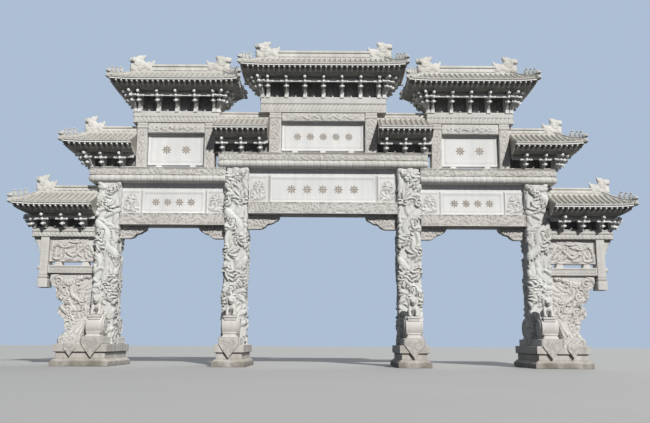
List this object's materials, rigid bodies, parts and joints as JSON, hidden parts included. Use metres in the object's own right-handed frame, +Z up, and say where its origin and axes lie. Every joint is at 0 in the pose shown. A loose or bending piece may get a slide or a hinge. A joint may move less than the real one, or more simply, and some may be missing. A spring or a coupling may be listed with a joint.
{
  "type": "stone paifang gate",
  "caption": "Wide stone memorial gateway: tall square pillars on stepped bases, passages between them, carved beams and tiered hip roofs on bracket sets.",
  "frame": {"origin": "on the ground at the middle of the gate, under its two planes of symmetry", "axes": "+X along the gate's width to the viewer's right, -Y towards the front, +Z up"},
  "size_m": [23.327, 3.2, 12.74],
  "materials": {
    "carved_stone": "carved granite, matt",
    "base_stone": "dressed granite, weathered",
    "beam_stone": "dressed granite, matt",
    "bracket_stone": "dressed granite, matt",
    "panel_stone": "honed pale granite",
    "roof_stone": "carved granite, weathered"
  },
  "bodies": {
    "root": {"base_inner_left": "base_stone", "base_inner_right": "base_stone", "base_outer_left": "base_stone", "base_outer_right": "base_stone", "brackets_second_inner_left": "bracket_stone", "brackets_second_inner_right": "bracket_stone", "brackets_second_outer_left": "bracket_stone", "brackets_second_outer_right": "bracket_stone", "brackets_top_centre": "bracket_stone", "brackets_top_left": "bracket_stone", "brackets_top_right": "bracket_stone", "brackets_wing_left": "bracket_stone", "brackets_wing_right": "bracket_stone", "corner_brackets": "beam_stone", "drum_stones": "carved_stone", "hanging_posts": "beam_stone", "lions": "carved_stone", "lower_beams": "carved_stone", "name_panels": "panel_stone", "pillar_inner_left": "carved_stone", "pillar_inner_right": "carved_stone", "pillar_outer_left": "carved_stone", "pillar_outer_right": "carved_stone", "post_brackets": "beam_stone", "roll_beam_centre": "beam_stone", "roll_beam_left": "beam_stone", "roll_beam_right": "beam_stone", "roof_second_inner_left": "roof_stone", "roof_second_inner_right": "roof_stone", "roof_second_outer_left": "roof_stone", "roof_second_outer_right": "roof_stone", "roof_top_centre": "roof_stone", "roof_top_left": "roof_stone", "roof_top_right": "roof_stone", "roof_wing_left": "roof_stone", "roof_wing_right": "roof_stone", "upper_columns": "carved_stone", "upper_friezes": "carved_stone", "upper_lintels": "beam_stone", "upper_plaques": "panel_stone", "wing_feet": "carved_stone", "wing_friezes": "carved_stone", "wing_lintels": "beam_stone", "wing_panels": "carved_stone", "wing_tie_beams": "beam_stone"}
  },
  "joints": []
}
